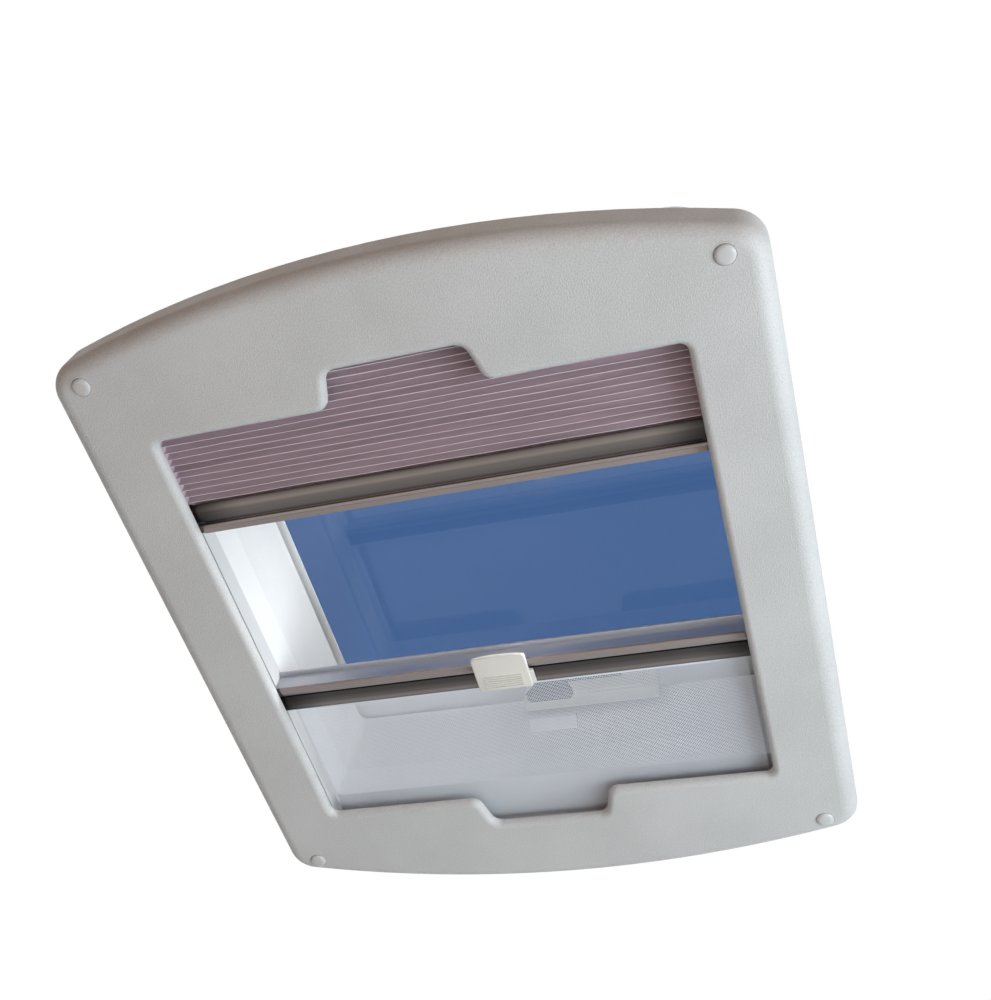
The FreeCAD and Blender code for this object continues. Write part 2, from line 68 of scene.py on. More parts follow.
# Brushed metal: noise scale on each axis, spread of the gloss, bump strength and distance in metres
BRUSH_STRETCH = (5.0, 1600.0, 1600.0)
BRUSH_GLOSS = 0.06
BRUSH_BUMP = (0.12, 0.0001)

# Pleated cloth: a crease's points across and up, and the columns that close each end
PLEATS = 24
CREASE = [(-0.5, 0.8), (-0.16, 0.12), (0.16, 0.12), (0.5, 0.8)]
CLOTH_COLUMNS = 44
END_COLUMNS = 2
CLOTH_END_GAP = 0.6
CLOTH_OVERHANG = 4.75
CLOTH_SHARE = 0.9995
MOUTH_GAP = 1.0
SELVEDGE = 3.4
CLOTH_SHARP = 60

# How the pleats waver along their length
PLEAT_WAVER = 0.22
WAVER_SEED = 7
WAVER_BEATS = (7, 15)
WAVER_LAG = 1.5
WAVER_LIFT = 0.4

# Insect mesh, with its hem's steps from the rail's edge
MESH_ROWS = 40
MESH_COLUMNS = 44
MESH_SAG = 0.5
MESH_INSET = 2.0
HEM_STEPS = (-1.0, 1.4, 2.2, 3.2)
HEM_ROWS = {0, 1, 3}

# Rail sections, across from the web's face and up from the rail's floor
RAIL_WIDTH = 22.5
RAIL_NOSE = 14.5
RAIL_GROOVE = 8.8
RAIL_HALF = 178.0
RAIL_LAND = [(0, 2), (4.5, 2), (4.5, 0.3), (6.6, 0.3), (6.6, 2.8), (RAIL_GROOVE, 2.8)]
RAIL_BACK = [(9.8, 2.45), (9.8, 5.3), (1.8, 5.3), (1.8, 15.7), (17, 15.7), (17, 17.5)]
RAIL_CLOSE = (0, 15.7)
GROOVE_DEPTH = 1.3
GROOVE_STEPS = 5
NOSE_RISE = 2.4
NOSE_STEPS = 12
BEAD_PLACE = (-2.6, 16.6)
BEAD_RADIUS = 0.9
BEAD_STEPS = 4
RAIL_SHARP = 35

# The rails' tone: streaks, and painted shade that darkens their ends from RAIL_FADE on, beyond a share of the width
RAIL_STREAKS = 0.25
RAIL_FADE = 135.0
RAIL_END_SHADE = 0.2
FADE_SHARES = (0.2, 0.32)

# Gliders: core from and to, inset in the rail, tongue width and height from and to
GLIDER_CORE = (172.0, 177.8)
GLIDER_INSET = 2.6
GLIDER_TONGUE = (17.5, 0.2, 3.8)
GLIDER_LAP = 0.2
GLIDER_EDGE = 0.5
CORE_CORNER = 1.0
TONGUE_CORNER = 0.8

# Screw caps
CAP_RINGS = 10
CAP_SIDES = 40
CAP_RISE = 2.0
CAP_POWER = 4
CAP_SHARP = 50

# White surround under the inner pane, in metres: x0, x1, y0, y1; then its corners and its place below the pane
SURROUND_OUTER = (-0.187, 0.187, -0.187, 0.187)
SURROUND_INNER = (-0.177, 0.177, -0.177, 0.164)
SURROUND_CORNERS = (7.0, 9.0)
SURROUND_STEPS = 8
SURROUND_BELOW = (1.2, 0.05)

# Flat plates
PLATE_SEGMENTS = 3
PLATE_PROFILE = 0.5
PLATE_SHARP = 40
LEVEL = 1e-6

# Latch housing, its cover and its lever, with sizes, places and spans in metres
HOUSING_SIZE = (0.114, 0.013, 0.029)
HOUSING_PLACE = (0.033, 0.1685, 0.0475)
HOUSING_CORNER = 3.5
HOUSING_EDGE = 2.5
COVER_WIDTH = 0.8
COVER_HEIGHT = (0.75, 0.7)
COVER_STEP = 1.2
COVER_CORNER = 1.0
COVER_EDGE = 0.8
LEVER_SPAN = (-0.007, 0.060)
LEVER_RISE = (0.050, 0.059)
LEVER_STEP = 3.2
LEVER_CORNER = 1.2
LEVER_EDGE = 0.9
BLOCK_STEPS = 5

# Pull handle, with the shares of its half width where the near edge's bow has points
HANDLE_HALF = 20.0
HANDLE_BULGE = 1.5
HANDLE_THICK = 3.6
HANDLE_CORNER = 2.4
HANDLE_STEPS = 5
HANDLE_EDGE = 0.8
BOW_SHARES = (-0.75, -0.5, -0.25, 0.0, 0.25, 0.5, 0.75)

# Tab beside the handle, measured from the handle's side and far edge
TAB_REACH = 2.8
TAB_ROOT = 1.5
TAB_START = 2.5
TAB_ENDS = (15, 14)
TAB_LIFT = 1.0
TAB_CORNER = 0.6
TAB_STEPS = 3
TAB_EDGE = 0.4

# Grip ribs on the handle
RIBS = 6
RIB_START = 3.0
RIB_PITCH = 1.9
RIB_WIDTH = 0.55
RIB_CROWN = 0.6
RIB_RISE = 0.7
RIB_SINK = 0.1
RIB_HALF = 14.0

# Floor, in metres: its glow is the share of its pale tone, against its own shading, where it is seen
FLOOR_SIZE = 14.0
FLOOR_PLACE = (0, 0, -1.25)
FLOOR_TONES = ((0.80, 0.80, 0.79), (0.84, 0.84, 0.83))
FLOOR_GLOW = 0.6
FLOOR_PALE = (0.88, 0.88, 0.87, 1.0)

# Warm tone that the near half of the floor throws back at the object, and where that half begins
FLOOR_WARM = (0.52, 0.27, 0.15, 1.0)
NEAR_HALF = (-0.2, -0.8)

# The world's strength as light and where it is seen, and its tone from the near to the far side
WORLD_LEVELS = (0.2, 1.0)
ROOM_SPAN = (-0.9, 0.25)
ROOM_NEAR = (0.18, 0.07, 0.02, 1.0)
ROOM_FAR = (1.0, 0.97, 0.94, 1.0)
WHITE = (1.0, 1.0, 1.0, 1.0)
BLACK = (0.0, 0.0, 0.0, 1.0)

# Tone of the lamps at the right and below
COOL = (0.89, 1.0, 1.075)

scene = bpy.context.scene
scene.view_settings.view_transform = "Standard"


# Node helpers
def feed(tree, value, socket):
    """Links an output to a socket, or writes a plain value on it."""
    if isinstance(value, bpy.types.NodeSocket):
        tree.links.new(value, socket)
    else:
        socket.default_value = value


def calc(tree, operation, *values):
    """A math node on outputs or plain numbers."""
    node = tree.nodes.new("ShaderNodeMath")
    node.operation = operation
    for value, socket in zip(values, node.inputs):
        feed(tree, value, socket)
    return node.outputs[0]


def remap(tree, value, source, target=(0.0, 1.0), soft=False):
    """Maps a value from one range to another, with soft ends if asked."""
    node = tree.nodes.new("ShaderNodeMapRange")
    if soft:
        node.interpolation_type = "SMOOTHSTEP"
    for name, number in zip(("From Min", "From Max", "To Min", "To Max"), (*source, *target)):
        node.inputs[name].default_value = number
    tree.links.new(value, node.inputs["Value"])
    return node.outputs["Result"]


def mix(tree, factor, first, second, blend_type="MIX"):
    """Mixes two colours by a factor."""
    node = tree.nodes.new("ShaderNodeMix")
    node.data_type = "RGBA"
    node.blend_type = blend_type
    for name, value in (("Factor", factor), ("A", first), ("B", second)):
        feed(tree, value, node.inputs[name])
    return node.outputs["Result"]


def axes(tree, space):
    """The X, Y and Z of a texture coordinate."""
    place = tree.nodes.new("ShaderNodeTexCoord")
    split = tree.nodes.new("ShaderNodeSeparateXYZ")
    tree.links.new(place.outputs[space], split.inputs["Vector"])
    return split.outputs


def light_path(tree):
    """The outputs that tell which kind of ray is asking."""
    return tree.nodes.new("ShaderNodeLightPath").outputs


def seen_by(tree, rays):
    """1 for camera, glossy and transmission rays, and 0 for the others."""
    reflected = calc(tree, "MAXIMUM", rays["Is Camera Ray"], rays["Is Glossy Ray"])
    return calc(tree, "MAXIMUM", reflected, rays["Is Transmission Ray"])


def noise(tree, scale, detail=2.0, stretch=(1.0, 1.0, 1.0)):
    """Noise in the object's own metres, stretched by a factor on each axis."""
    place = tree.nodes.new("ShaderNodeTexCoord")
    mapping = tree.nodes.new("ShaderNodeMapping")
    mapping.inputs["Scale"].default_value = stretch
    tree.links.new(place.outputs["Object"], mapping.inputs["Vector"])
    tex = tree.nodes.new("ShaderNodeTexNoise")
    tex.inputs["Scale"].default_value = scale
    tex.inputs["Detail"].default_value = detail
    tree.links.new(mapping.outputs["Vector"], tex.inputs["Vector"])
    return tex.outputs["Fac"]


def span(tree, value, low, high, socket):
    """Maps a noise value to low..high and links it to a socket."""
    tree.links.new(remap(tree, value, NOISE_SPAN, (low, high)), socket)


def tint(tree, value, dark, light):
    """Maps a noise value to a colour between dark and light."""
    ramp = tree.nodes.new("ShaderNodeValToRGB")
    for element, position, color in zip(ramp.color_ramp.elements, NOISE_SPAN, (dark, light)):
        element.position = position
        element.color = (*color, 1.0)
    tree.links.new(value, ramp.inputs["Fac"])
    return ramp.outputs["Color"]


def bump(tree, value, strength, distance, shader):
    """Raises the surface by a value, with the distance in metres."""
    node = tree.nodes.new("ShaderNodeBump")
    node.inputs["Strength"].default_value = strength
    node.inputs["Distance"].default_value = distance
    tree.links.new(value, node.inputs["Height"])
    tree.links.new(node.outputs["Normal"], shader.inputs["Normal"])


def shade(color, factor):
    """A colour times a factor, held at 1."""
    return tuple(min(1.0, c * factor) for c in color)


def uneven(tree, value, color, spread):
    """A colour that a noise value moves by its spread, darker and lighter."""
    return tint(tree, value, shade(color, 1 - spread), shade(color, 1 + spread))


# Material helpers
def new_material(name, color, roughness, metallic=0.0):
    """A node material with its plain values on the shader's own sockets."""
    mat = bpy.data.materials.new(name)
    mat.use_nodes = True
    tree = mat.node_tree
    shader = tree.nodes["Principled BSDF"]
    shader.inputs["Base Color"].default_value = (*color, 1.0)
    shader.inputs["Roughness"].default_value = roughness
    shader.inputs["Metallic"].default_value = metallic
    return mat, tree, shader


def plastic(name, color, roughness, grain=900.0, grain_strength=0.2, spread=0.035, speck=0.6):
    """Moulded plastic: fine grain, faint cloudy colour and uneven gloss."""
    mat, tree, shader = new_material(name, color, roughness)
    cloud = noise(tree, 14.0, 3.0)
    speckle = noise(tree, grain)
    cloudy = calc(tree, "MULTIPLY_ADD", speckle, speck, cloud)
    centred = calc(tree, "SUBTRACT", cloudy, 0.5 * speck)
    tree.links.new(uneven(tree, centred, color, spread), shader.inputs["Base Color"])
    span(tree, noise(tree, 60.0), roughness - 0.05, roughness + 0.05, shader.inputs["Roughness"])
    bump(tree, speckle, grain_strength, 0.0003, shader)
    return mat


def brush_lines(tree, shader, roughness):
    """Fine lines along X in the gloss and the bump."""
    lines = noise(tree, 1.0, 3.0, BRUSH_STRETCH)
    span(tree, lines, roughness - BRUSH_GLOSS, roughness + BRUSH_GLOSS, shader.inputs["Roughness"])
    bump(tree, lines, *BRUSH_BUMP, shader)
    return lines


def brushed(name, color, roughness, metallic=1.0, spread=0.12):
    """Metal with fine lines along X."""
    mat, tree, shader = new_material(name, color, roughness, metallic)
    lines = brush_lines(tree, shader, roughness)
    tree.links.new(uneven(tree, lines, color, spread), shader.inputs["Base Color"])
    return mat


def metal_with_painted_light_bands(name, roughness, metallic, web_y, cloth_y, bands):
    """Brushed anodised metal whose tone runs in bands across the rail, from the web to the cloth side: painted
    highlights and painted shade, with painted shade darkening the ends.
    """
    mat, tree, shader = new_material(name, bands[0][1], roughness, metallic)
    place = axes(tree, "Object")
    across = remap(tree, place["Y"], (web_y, cloth_y))
    # Painted highlights and painted shade: these tones across the rail stand in for how light falls on its rounded
    # faces.
    ramp = tree.nodes.new("ShaderNodeValToRGB")
    ramp.color_ramp.interpolation = "EASE"
    while len(ramp.color_ramp.elements) < len(bands):
        ramp.color_ramp.elements.new(0.5)
    for element, (position, color) in zip(ramp.color_ramp.elements, bands):
        element.position = position
        element.color = (*color, 1.0)
    tree.links.new(across, ramp.inputs["Fac"])
    lines = brush_lines(tree, shader, roughness)
    # Real brush streaks laid over the painted highlights and painted shade.
    streaks = mix(tree, RAIL_STREAKS, ramp.outputs["Color"], lines, "MULTIPLY")
    # Painted shade: the rail darkens towards both ends.
    side = calc(tree, "ABSOLUTE", place["X"])
    ends = remap(tree, side, (RAIL_FADE * MM, RAIL_HALF * MM), (1.0, RAIL_END_SHADE), soft=True)
    beyond = remap(tree, across, FADE_SHARES)
    tree.links.new(mix(tree, beyond, streaks, ends, "MULTIPLY"), shader.inputs["Base Color"])
    return mat


def acrylic(name, color):
    """Tinted see-through acrylic with faint hazy patches."""
    mat, tree, shader = new_material(name, color, 0.03)
    shader.inputs["Transmission Weight"].default_value = 1.0
    shader.inputs["IOR"].default_value = 1.49
    span(tree, noise(tree, 9.0, 3.0), 0.0, 0.015, shader.inputs["Roughness"])
    return mat


def pleated_fabric(name, color):
    """Coated blind cloth: fine weave, soft sheen and faint streaks along the folds."""
    mat, tree, shader = new_material(name, color, 0.62)
    streak = noise(tree, 1.0, 3.0, (9.0, 260.0, 60.0))
    tree.links.new(tint(tree, streak, shade(color, 0.86), shade(color, 1.12)), shader.inputs["Base Color"])
    shader.inputs["Sheen Weight"].default_value = 0.25
    shader.inputs["Sheen Roughness"].default_value = 0.4
    bump(tree, noise(tree, 2200.0, 1.0), 0.25, 0.0002, shader)
    return mat


def insect_weave(name, color):
    """Fine staggered weave: threads are opaque and the gaps between them are open."""
    mat, tree, shader = new_material(name, color, 0.55)
    place = tree.nodes.new("ShaderNodeTexCoord")
    weave = tree.nodes.new("ShaderNodeTexBrick")
    for socket, value in {"Color1": BLACK, "Color2": BLACK, "Mortar": WHITE, "Scale": 1000.0,
                          "Mortar Size": 0.25, "Mortar Smooth": 0.1,
                          "Brick Width": 1.9, "Row Height": 1.3}.items():
        weave.inputs[socket].default_value = value
    tree.links.new(place.outputs["Object"], weave.inputs["Vector"])
    span(tree, weave.outputs["Color"], 0.0, 1.0, shader.inputs["Alpha"])
    bump(tree, weave.outputs["Color"], 0.4, 0.0002, shader)
    return mat


# Materials
trim_grey = plastic("trim_grey", (0.615, 0.62, 0.615), 0.5,
                    grain=1000.0, grain_strength=0.9, spread=0.065, speck=2.0)
cap_grey = plastic("cap_grey", (0.625, 0.63, 0.62), 0.4, grain=1500.0, grain_strength=0.12)
liner_white = plastic("liner_white", (0.80, 0.80, 0.79), 0.38, grain=1300.0, grain_strength=0.1)
frame_white = plastic("frame_white", (0.76, 0.76, 0.75), 0.45, grain=900.0, grain_strength=0.22)
seal_black = plastic("seal_black", (0.02, 0.02, 0.02), 0.7, grain=1500.0, grain_strength=0.3)
lid_grey = plastic("lid_grey", (0.04, 0.04, 0.043), 0.5)
hinge_grey = plastic("hinge_grey", (0.045, 0.045, 0.05), 0.5)
latch_cream = plastic("latch_cream", (0.72, 0.68, 0.55), 0.45)
latch_black = plastic("latch_black", (0.012, 0.012, 0.014), 0.4)
glider_dark = plastic("glider_dark", (0.075, 0.065, 0.06), 0.5)
track_grey = plastic("track_grey", (0.62, 0.62, 0.62), 0.4, grain=1400.0, grain_strength=0.1)
strip_taupe = plastic("strip_taupe", (0.30, 0.255, 0.24), 0.5, grain=1500.0, grain_strength=0.15)
handle_cream = plastic("handle_cream", (0.80, 0.785, 0.725), 0.38, grain=1600.0, grain_strength=0.1)
blackout_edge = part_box("blackout_rail")[0][1]
# Bronze tone with painted highlights and painted shade in bands across the rail.
rail_bronze = metal_with_painted_light_bands("rail_bronze", 0.32, 0.8, blackout_edge + RAIL_WIDTH * MM, blackout_edge, [
    (0.0, (0.16, 0.14, 0.13)), (0.19, (0.42, 0.36, 0.34)), (0.29, (0.42, 0.36, 0.34)),
    (0.34, (0.15, 0.13, 0.132)), (0.52, (0.18, 0.16, 0.16)), (0.72, (0.22, 0.19, 0.175)),
    (0.83, (0.34, 0.295, 0.265)), (0.90, (0.28, 0.24, 0.22)), (1.0, (0.14, 0.11, 0.105))])
flyscreen_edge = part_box("flyscreen_rail")[1][1]
# Grey tone with a painted reflection of the well's light on the web face, and painted highlights and painted shade
# across the rail.
rail_grey = metal_with_painted_light_bands("rail_grey", 0.36, 0.75, flyscreen_edge - RAIL_WIDTH * MM, flyscreen_edge, [
    (0.0, (0.62, 0.63, 0.68)), (0.06, (0.344, 0.32, 0.316)), (0.19, (0.361, 0.328, 0.328)),
    (0.29, (0.361, 0.328, 0.328)), (0.34, (0.07, 0.061, 0.061)), (0.48, (0.082, 0.074, 0.074)),
    (0.68, (0.148, 0.131, 0.127)), (0.84, (0.295, 0.267, 0.254)), (0.92, (0.213, 0.189, 0.18)),
    (1.0, (0.082, 0.07, 0.066))])
steel = brushed("steel", (0.55, 0.55, 0.56), 0.3)
roller_wound = pleated_fabric("roller_wound", (0.82, 0.83, 0.86))
# The deep blue tint paints the sky's light, seen through the dome, into the acrylic.
acrylic_painted_sky = acrylic("acrylic_painted_sky", (0.245, 0.365, 0.565))
cloth_mauve = pleated_fabric("cloth_mauve", (0.515, 0.41, 0.46))
# Painted light: near-white lines along the lower creases stand in for light that shines through the cloth there.
crease_painted_light = plastic("crease_painted_light", (0.78, 0.76, 0.76), 0.35, grain=1800.0, grain_strength=0.1)
mesh_white = insect_weave("mesh_white", (0.81, 0.86, 0.94))
hem_white = plastic("hem_white", (0.80, 0.82, 0.86), 0.6, grain=2000.0, grain_strength=0.3)

FINISHES = {
    trim_grey: ["trim_frame"],
    cap_grey: ["screw_cap_far_left", "screw_cap_far_right", "screw_cap_near_left", "screw_cap_near_right"],
    liner_white: ["well_liner", "blackout_anchor", "roller_bracket_left", "roller_bracket_right"],
    frame_white: ["outer_frame", "latch_keeper"],
    seal_black: ["rim_seal"],
    acrylic_painted_sky: ["lid_dome", "lid_pane"],
    lid_grey: ["lid_edge_frame"],
    hinge_grey: ["hinge_arm_left", "hinge_arm_right", "hinge_bracket_left", "hinge_bracket_right"],
    steel: ["hinge_pin_left", "hinge_pin_right"],
    latch_cream: ["latch_body"],
    latch_black: ["latch_grip"],
    track_grey: ["side_track_left", "side_track_right"],
    rail_bronze: ["blackout_rail"],
    rail_grey: ["flyscreen_rail"],
    strip_taupe: ["blackout_seal_strip", "flyscreen_seal_strip"],
    glider_dark: ["blackout_glider_left", "blackout_glider_right",
                  "flyscreen_glider_left", "flyscreen_glider_right"],
    handle_cream: ["rail_handle"],
    roller_wound: ["flyscreen_roller"],
}
for material, names in FINISHES.items():
    for node_name in names:
        mesh = NODES[node_name].data
        mesh.materials.clear()
        mesh.materials.append(material)


# Mesh helpers
def add_object(name, bm, materials, sharp=None, smooth=True):
    """Makes the object, with edges sharp from an angle on if one is given."""
    bmesh.ops.recalc_face_normals(bm, faces=bm.faces)
    mesh = bpy.data.meshes.new(name)
    bm.to_mesh(mesh)
    bm.free()
    obj = bpy.data.objects.new(name, mesh)
    for material in materials:
        mesh.materials.append(material)
    for polygon in mesh.polygons:
        polygon.use_smooth = smooth
    scene.collection.objects.link(obj)
    if sharp is not None:
        mesh.set_sharp_from_angle(angle=math.radians(sharp))
    return obj


def bridge(bm, first, second):
    """A closed band of faces between two loops of points."""
    count = len(first)
    for k in range(count):
        n = (k + 1) % count
        bm.faces.new((first[k], first[n], second[n], second[k]))


def bar(bm, loops):
    """The sides and both ends of a bar between two loops of points."""
    bridge(bm, *loops)
    for loop in loops:
        bm.faces.new(loop)


def grid_sheet(rows, columns, place, second_rows):
    """A sheet of rows x columns points from place(row, column), with some rows in the second material."""
    bm = bmesh.new()
    points = [[bm.verts.new(place(i, j)) for j in range(columns)] for i in range(rows)]
    for i in range(rows - 1):
        for j in range(columns - 1):
            face = bm.faces.new((points[i][j], points[i][j + 1], points[i + 1][j + 1], points[i + 1][j]))
            inside = END_COLUMNS <= j < columns - 1 - END_COLUMNS
            face.material_index = 1 if i in second_rows and inside else 0
    return bm


def rounded_outline(corners, radius, steps):
    """Points round a polygon in the XY plane whose corners are cut by curves."""
    points = []
    count = len(corners)
    for i, corner in enumerate(corners):
        here = Vector((*corner, 0))
        before = (Vector((*corners[i - 1], 0)) - here).normalized()
        after = (Vector((*corners[(i + 1) % count], 0)) - here).normalized()
        reach = radius / math.tan(before.angle(after) / 2)
        start, end = here + before * reach, here + after * reach
        for k in range(steps + 1):
            t = k / steps
            points.append(start * (1 - t) ** 2 + here * 2 * t * (1 - t) + end * t * t)
    return points


def block_outline(x0, x1, y0, y1, radius):
    """A rectangle with rounded corners."""
    return rounded_outline([(x1, y0), (x1, y1), (x0, y1), (x0, y0)], radius, BLOCK_STEPS)


def plate(name, outline, low, high, edge, material):
    """A flat plate with rounded edges, from an outline in the XY plane."""
    bm = bmesh.new()
    face = bm.faces.new([bm.verts.new((p.x, p.y, low)) for p in outline])
    top = bmesh.ops.extrude_face_region(bm, geom=[face])
    raised = [v for v in top["geom"] if isinstance(v, bmesh.types.BMVert)]
    bmesh.ops.translate(bm, verts=raised, vec=(0, 0, high - low))
    bmesh.ops.recalc_face_normals(bm, faces=bm.faces)
    rims = [e for e in bm.edges if abs(e.verts[0].co.z - e.verts[1].co.z) < LEVEL]
    bmesh.ops.bevel(bm, geom=rims, offset=edge, segments=PLATE_SEGMENTS, profile=PLATE_PROFILE, affect="EDGES")
    return add_object(name, bm, [material], PLATE_SHARP)


# The pleated blackout cloth
cloth_low, cloth_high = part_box("blackout_cloth")
cloth_half = (cloth_high[0] - cloth_low[0]) / 2
cloth_near = cloth_low[1] + CLOTH_END_GAP * MM
cloth_far = cloth_high[1] - CLOTH_END_GAP * MM
cloth_mouth = blackout_edge - MOUTH_GAP * MM
pitch = (cloth_far - cloth_near) / PLEATS
waver = random.Random(WAVER_SEED)
path = []
painted_light_crease_rows = set()
for pleat in range(PLEATS):
    y = cloth_near + (pleat + 0.5) * pitch
    phase = waver.uniform(0, 2 * math.pi)
    beat = waver.uniform(*WAVER_BEATS)
    # The rows of each lower crease take the painted light.
    painted_light_crease_rows.add(len(path) + 1)
    for dy, dz in CREASE:
        path.append((y + dy * MM, cloth_low[2] + dz * MM, phase, beat))
    if pleat < PLEATS - 1:
        for dy, dz in CREASE:
            path.append((y + pitch / 2 + dy * MM, cloth_high[2] - dz * MM, phase + WAVER_LAG, beat))


def cloth_point(i, j):
    """A point of the cloth: its last two columns at each end close the pleats and make the selvedge."""
    y, z, phase, beat = path[i]
    half = cloth_half if y > cloth_mouth else cloth_half + CLOTH_OVERHANG * MM
    last = CLOTH_COLUMNS - 1
    inner = min(max(j - END_COLUMNS, 0), last)
    x = (-half + 2 * half * inner / last) * CLOTH_SHARE
    shift = PLEAT_WAVER * MM * math.sin(phase + beat * x / half)
    if j in (0, last + 2 * END_COLUMNS):
        return (math.copysign(half, x), y + shift, cloth_high[2])
    if j in (1, last + 2 * END_COLUMNS - 1):
        drop = SELVEDGE * MM if y < cloth_mouth - MOUTH_GAP * MM else 0.0
        return (math.copysign(half, x), y + shift, cloth_low[2] - drop)
    return (x, y + shift, z + WAVER_LIFT * abs(shift))


cloth_bm = grid_sheet(len(path), CLOTH_COLUMNS + 2 * END_COLUMNS, cloth_point, painted_light_crease_rows)
cloth = add_object("pleated_cloth", cloth_bm, [cloth_mauve, crease_painted_light], CLOTH_SHARP)
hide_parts("blackout_cloth")
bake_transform(cloth)

# The insect mesh
net_low, net_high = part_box("flyscreen_mesh")
net_half = (net_high[0] - net_low[0]) / 2 - MESH_INSET * MM
net_z = (net_low[2] + net_high[2]) / 2
hem = [net_low[1]] + [flyscreen_edge + step * MM for step in HEM_STEPS]
net_rows = hem + [hem[-1] + (net_high[1] - hem[-1]) * (i + 1) / MESH_ROWS for i in range(MESH_ROWS)]


def net_point(i, j):
    """A point of the mesh, which sags a little in the middle."""
    y = net_rows[i]
    u = (y - net_low[1]) / (net_high[1] - net_low[1])
    v = j / (MESH_COLUMNS - 1)
    sag = MESH_SAG * MM * math.sin(math.pi * u) * math.sin(math.pi * v)
    return (-net_half + 2 * net_half * v, y, net_z - sag)


net_bm = grid_sheet(len(net_rows), MESH_COLUMNS, net_point, HEM_ROWS)
net = add_object("insect_mesh", net_bm, [mesh_white, hem_white])
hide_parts("flyscreen_mesh")
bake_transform(net)


# Rails with a groove and a smooth rounded nose on the cloth side
def rail_section():
    """The rail's outline, in mm from the web's face and the rail's floor."""
    section = list(RAIL_LAND)
    for i in range(GROOVE_STEPS + 1):
        share = i / GROOVE_STEPS
        section.append((RAIL_GROOVE + share * (RAIL_NOSE - RAIL_GROOVE), GROOVE_DEPTH * (1 - share) ** 2))
    for i in range(1, NOSE_STEPS + 1):
        turn = math.pi / 2 * i / NOSE_STEPS
        section.append((RAIL_NOSE + (RAIL_WIDTH - RAIL_NOSE) * math.sin(turn), NOSE_RISE * (1 - math.cos(turn))))
    section += RAIL_BACK
    for i in range(BEAD_STEPS + 1):
        turn = math.pi / 2 + math.pi * i / BEAD_STEPS
        section.append((BEAD_PLACE[0] + BEAD_RADIUS * math.cos(turn), BEAD_PLACE[1] + BEAD_RADIUS * math.sin(turn)))
    section.append(RAIL_CLOSE)
    return section


def rail_skin(name, node, body, material, way):
    """A rail drawn along X, with its cloth side towards way."""
    low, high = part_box(node)
    cloth_edge = high[1] if way > 0 else low[1]
    web = cloth_edge - way * RAIL_WIDTH * MM
    bm = bmesh.new()
    bar(bm, [[bm.verts.new((x, web + way * u * MM, low[2] + v * MM)) for u, v in rail_section()]
             for x in (-RAIL_HALF * MM, RAIL_HALF * MM)])
    piece = add_object(name, bm, [material], RAIL_SHARP)
    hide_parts(node)
    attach(piece, body)


rail_skin("blackout_rail_skin", "blackout_rail", "blackout", rail_bronze, -1)
rail_skin("flyscreen_rail_skin", "flyscreen_rail", "flyscreen", rail_grey, 1)


# White surround under the inner pane
def ring(name, outer, inner, low, high, material):
    """A flat ring between two (x0, x1, y0, y1) rectangles with rounded corners."""
    bm = bmesh.new()
    loops = []
    for z in (low, high):
        for (x0, x1, y0, y1), corner in zip((outer, inner), SURROUND_CORNERS):
            outline = rounded_outline([(x1, y1), (x0, y1), (x0, y0), (x1, y0)], corner * MM, SURROUND_STEPS)
            loops.append([bm.verts.new((p.x, p.y, z)) for p in outline])
    for a, b in ((0, 1), (1, 3), (3, 2), (2, 0)):
        bridge(bm, loops[a], loops[b])
    return add_object(name, bm, [material], PLATE_SHARP)


pane_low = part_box("lid_pane")[0][2]
surround_low, surround_high = (pane_low - below * MM for below in SURROUND_BELOW)
surround = ring("pane_surround", SURROUND_OUTER, SURROUND_INNER, surround_low, surround_high, liner_white)
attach(surround, "lid")

# The pull handle: a slim plate with a convex near edge and a stepped tab
handle_low, handle_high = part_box("rail_handle")
handle_x = HANDLE_HALF * MM
near_y, far_y = handle_low[1], handle_high[1]
handle_top = handle_low[2] + HANDLE_THICK * MM
shoulder = near_y + HANDLE_BULGE * MM
handle_outline = [Vector((handle_x * t, near_y + HANDLE_BULGE * MM * t * t, 0)) for t in BOW_SHARES]
handle_outline += rounded_outline(
    [(handle_x, shoulder), (handle_x, far_y), (-handle_x, far_y), (-handle_x, shoulder)],
    HANDLE_CORNER * MM, HANDLE_STEPS)
handle_plate = plate("pull_handle", handle_outline, handle_low[2], handle_top, HANDLE_EDGE * MM, handle_cream)
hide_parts("rail_handle")
tab_tip, tab_root = handle_x + TAB_REACH * MM, handle_x - TAB_ROOT * MM
tab_start = far_y - TAB_START * MM
root_end, tip_end = (far_y - end * MM for end in TAB_ENDS)
tab_outline = rounded_outline(
    [(tab_tip, tab_start), (tab_root, tab_start), (tab_root, root_end), (tab_tip, tip_end)],
    TAB_CORNER * MM, TAB_STEPS)
tab = plate("pull_handle_tab", tab_outline, handle_low[2] + TAB_LIFT * MM, handle_top,
            TAB_EDGE * MM, handle_cream)
for piece in (handle_plate, tab):
    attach(piece, "flyscreen")

# Latch housing with a raised cover and a dark lever on its near face
hx, hy, hz = (size / 2 for size in HOUSING_SIZE)
px, py, pz = HOUSING_PLACE
face_y = py - hy
housing = plate("latch_housing", block_outline(px - hx, px + hx, face_y, py + hy, HOUSING_CORNER * MM),
                pz - hz, pz + hz, HOUSING_EDGE * MM, latch_cream)
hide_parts("latch_body")
cover_outline = block_outline(px - COVER_WIDTH * hx, px + COVER_WIDTH * hx,
                              face_y - COVER_STEP * MM, py, COVER_CORNER * MM)
cover = plate("latch_cover", cover_outline, pz - COVER_HEIGHT[0] * hz, pz + COVER_HEIGHT[1] * hz,
              COVER_EDGE * MM, latch_cream)
lever = plate("latch_lever", block_outline(*LEVER_SPAN, face_y - LEVER_STEP * MM, face_y, LEVER_CORNER * MM),
              *LEVER_RISE, LEVER_EDGE * MM, latch_black)
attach(lever, "lid")
for piece in (housing, cover):
    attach(piece, "lid")

